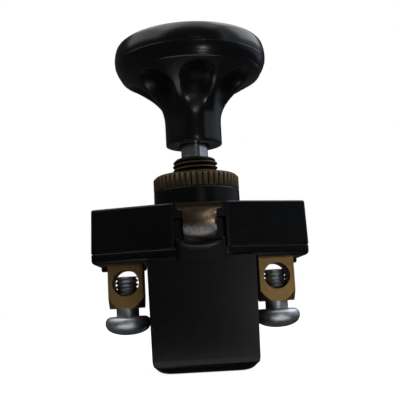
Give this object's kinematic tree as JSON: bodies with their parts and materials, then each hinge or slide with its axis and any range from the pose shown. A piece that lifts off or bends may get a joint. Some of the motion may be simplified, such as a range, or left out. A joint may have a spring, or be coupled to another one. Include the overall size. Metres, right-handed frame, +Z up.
{
  "type": "push-pull switch",
  "caption": "Black push-pull switch with a round scooped knob on a rod, a threaded panel bush with a fluted ring nut, and a brass screw terminal at each side.",
  "frame": {"origin": "centre of the block's flat bottom, on the rod's axis", "axes": "+Z up the rod to the knob, +X to the right terminal, -Y the front"},
  "size_m": [0.046, 0.0342, 0.0753],
  "materials": {
    "phenolic": "semi-gloss moulding",
    "aged_brass": "aged, dull",
    "terminal_brass": "turned, lightly tarnished",
    "contact_brass": "stamped",
    "steel": "ground",
    "zinc_steel": "zinc plated, dull",
    "nickel_steel": "bright nickel plate",
    "spring_steel": "drawn wire",
    "contact_silver": "silver",
    "fibre": "vulcanised fibre sheet",
    "carrier_phenolic": "brown moulding"
  },
  "bodies": {
    "housing": {"housing_base": "phenolic", "housing_cover": "phenolic", "insulating_plate": "fibre", "retaining_clip": "nickel_steel", "threaded_bush": "aged_brass", "mounting_collar": "phenolic", "detent_spring": "spring_steel", "fixed_contact_left": "contact_silver", "fixed_contact_right": "contact_silver", "terminal_post_left": "terminal_brass", "terminal_post_right": "terminal_brass", "contact_strip_left": "contact_brass", "contact_strip_right": "contact_brass"},
    "carriage": {"contact_carrier": "carrier_phenolic", "insulating_washer": "fibre", "carrier_washer": "steel", "contact_bridge": "contact_brass", "pressure_spring": "spring_steel", "moving_contact_left": "contact_silver", "moving_contact_right": "contact_silver"},
    "knob_and_rod": {"knob": "phenolic", "knob_insert": "terminal_brass", "push_rod": "steel", "rod_clip": "spring_steel"},
    "panel_nut": {"ring_nut": "aged_brass"},
    "screw_left": {"terminal_screw_left": "zinc_steel"},
    "screw_right": {"terminal_screw_right": "zinc_steel"}
  },
  "joints": [
    {"name": "push_pull", "type": "slide", "parent": "housing", "child": "carriage", "axis": [0, 0, 1], "range_m": [0, 0.008], "deforming": ["detent_spring"]},
    {"name": "knob_turn", "type": "hinge", "parent": "carriage", "child": "knob_and_rod", "pos_m": [0, 0, 0.05], "axis": [0, 0, 1], "continuous": true},
    {"name": "ring_nut_travel", "type": "slide", "parent": "housing", "child": "panel_nut", "axis": [0, 0, 1], "range_m": [0, 0.0038]},
    {"name": "terminal_screw_left_travel", "type": "slide", "parent": "housing", "child": "screw_left", "axis": [0, 0, 1], "range_m": [-0.0052, 0]},
    {"name": "terminal_screw_right_travel", "type": "slide", "parent": "housing", "child": "screw_right", "axis": [0, 0, 1], "range_m": [-0.0052, 0]}
  ]
}
